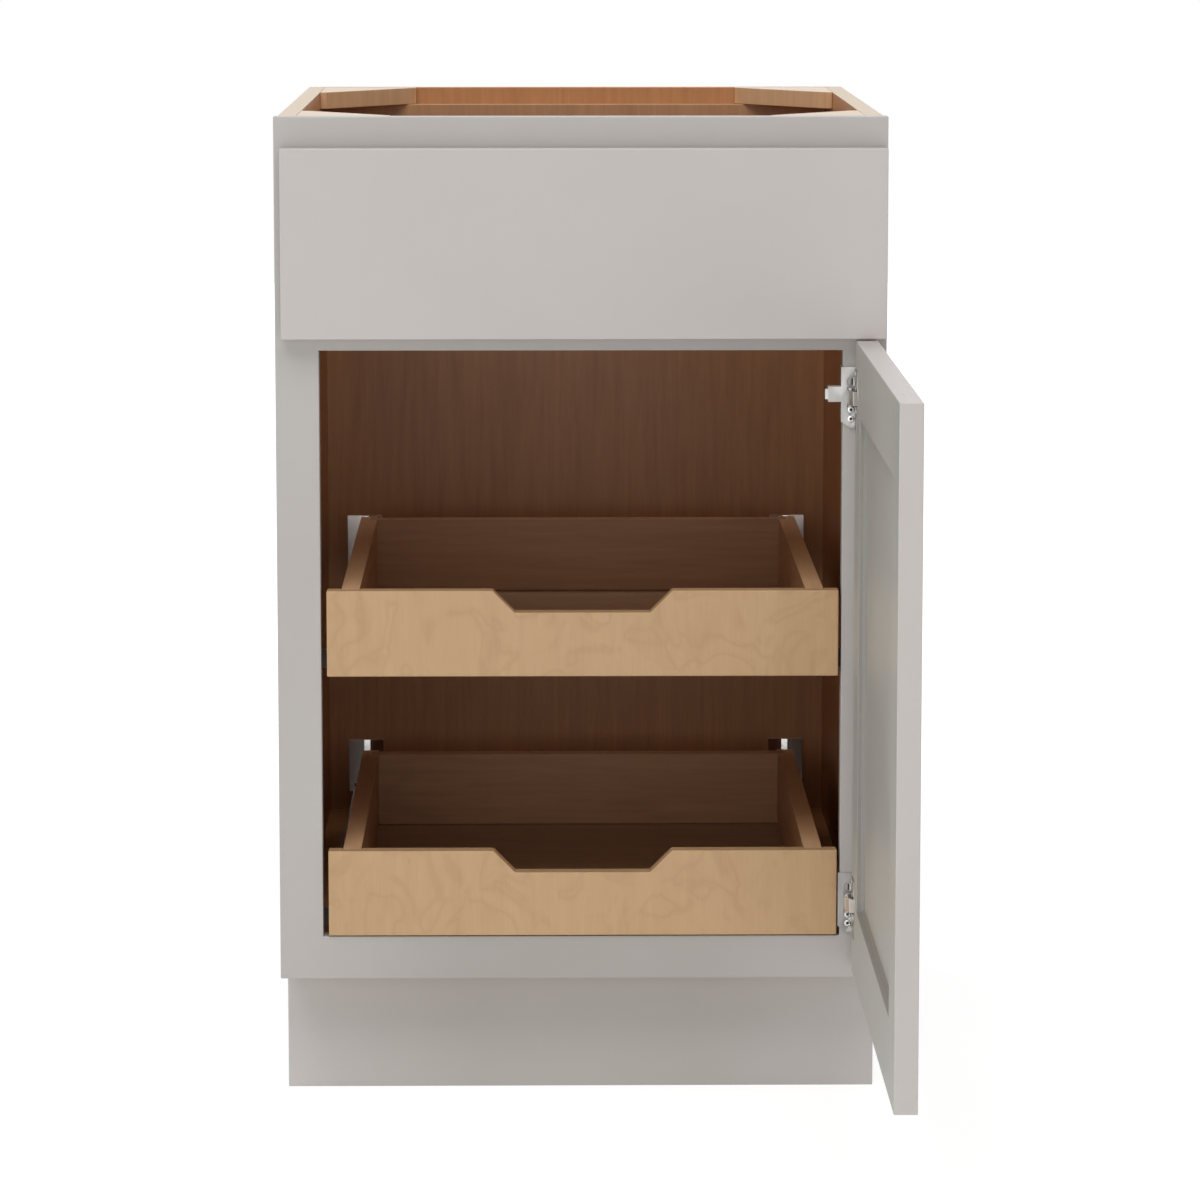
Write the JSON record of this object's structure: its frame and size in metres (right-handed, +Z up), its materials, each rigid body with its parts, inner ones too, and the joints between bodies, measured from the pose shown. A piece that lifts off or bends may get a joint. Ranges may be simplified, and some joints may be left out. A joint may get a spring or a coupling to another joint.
{
  "type": "kitchen base cabinet",
  "caption": "Framed kitchen base cabinet with a slab drawer, a recessed-panel door on concealed hinges and pull-out trays with scooped fronts.",
  "frame": {"origin": "on the floor, at the middle of the underside of the toe board", "axes": "+X to the right as seen from the front, +Y from the front to the back, +Z up"},
  "size_m": [0.5334, 1.1645, 0.8763],
  "materials": {
    "grey_paint": "smooth satin paint, warm light grey",
    "maple_front": "clear satin lacquer over light maple",
    "clear_maple": "clear lacquer over maple veneer",
    "nailer_wood": "plain plywood",
    "nickel_steel": "nickel-plated steel",
    "zinc_steel": "zinc-plated steel"
  },
  "bodies": {
    "cabinet": {"back_nailer": "nailer_wood", "back_panel": "clear_maple", "bottom_rail": "grey_paint", "drawer_left_rail": "zinc_steel", "drawer_right_rail": "zinc_steel", "floor_panel": "clear_maple", "front_left_corner_brace": "nailer_wood", "front_right_corner_brace": "nailer_wood", "left_side_panel": "grey_paint", "left_stile": "grey_paint", "lower_hinge_plate": "nickel_steel", "lower_tray_left_bracket": "nickel_steel", "lower_tray_left_rail": "zinc_steel", "lower_tray_right_bracket": "nickel_steel", "lower_tray_right_rail": "zinc_steel", "middle_rail": "grey_paint", "rear_left_corner_brace": "nailer_wood", "rear_right_corner_brace": "nailer_wood", "right_side_panel": "grey_paint", "right_stile": "grey_paint", "toe_board": "grey_paint", "top_rail": "grey_paint", "upper_hinge_plate": "nickel_steel", "upper_tray_left_bracket": "nickel_steel", "upper_tray_left_rail": "zinc_steel", "upper_tray_right_bracket": "nickel_steel", "upper_tray_right_rail": "zinc_steel"},
    "hinge_links": {"upper_hinge_link": "nickel_steel", "lower_hinge_link": "nickel_steel"},
    "door": {"door_hinge_stile": "grey_paint", "door_free_stile": "grey_paint", "door_top_rail": "grey_paint", "door_bottom_rail": "grey_paint", "door_panel": "grey_paint", "upper_hinge_cup": "nickel_steel", "lower_hinge_cup": "nickel_steel"},
    "drawer": {"drawer_front": "grey_paint", "drawer_box_front": "clear_maple", "drawer_left_side": "clear_maple", "drawer_right_side": "clear_maple", "drawer_back": "clear_maple", "drawer_bottom": "clear_maple", "drawer_left_runner": "zinc_steel", "drawer_right_runner": "zinc_steel"},
    "upper_tray": {"upper_tray_front": "maple_front", "upper_tray_left_side": "clear_maple", "upper_tray_right_side": "clear_maple", "upper_tray_back": "clear_maple", "upper_tray_bottom": "clear_maple", "upper_tray_left_runner": "zinc_steel", "upper_tray_right_runner": "zinc_steel"},
    "lower_tray": {"lower_tray_front": "maple_front", "lower_tray_left_side": "clear_maple", "lower_tray_right_side": "clear_maple", "lower_tray_back": "clear_maple", "lower_tray_bottom": "clear_maple", "lower_tray_left_runner": "zinc_steel", "lower_tray_right_runner": "zinc_steel"},
    "upper_hinge_cam": {"upper_hinge_cam": "nickel_steel"},
    "lower_hinge_cam": {"lower_hinge_cam": "nickel_steel"}
  },
  "joints": [
    {"name": "hinge_link_swing", "type": "hinge", "parent": "cabinet", "child": "hinge_links", "pos_m": [0.235, -0.081, 0.4078], "axis": [0, 0, 1], "range_deg": [0, 69.18]},
    {"name": "door_swing", "type": "hinge", "parent": "hinge_links", "child": "door", "pos_m": [0.2428, -0.0956, 0.4078], "axis": [0, 0, 1], "range_deg": [-159.17, 0]},
    {"name": "drawer_slide", "type": "slide", "parent": "cabinet", "child": "drawer", "axis": [0, -1, 0], "range_m": [0, 0.38]},
    {"name": "upper_tray_slide", "type": "slide", "parent": "cabinet", "child": "upper_tray", "axis": [0, -1, 0], "range_m": [0, 0.38]},
    {"name": "lower_tray_slide", "type": "slide", "parent": "cabinet", "child": "lower_tray", "axis": [0, -1, 0], "range_m": [0, 0.38]},
    {"name": "upper_cam_turn", "type": "hinge", "parent": "cabinet", "child": "upper_hinge_cam", "pos_m": [0.2368, -0.073, 0.6455], "axis": [0, 1, 0], "range_deg": [-90, 90]},
    {"name": "lower_cam_turn", "type": "hinge", "parent": "cabinet", "child": "lower_hinge_cam", "pos_m": [0.2368, -0.073, 0.1961], "axis": [0, 1, 0], "range_deg": [-90, 90]}
  ],
  "couplings": [
    {"joint": "hinge_link_swing", "follows": "door_swing", "ratio": -0.43457}
  ]
}
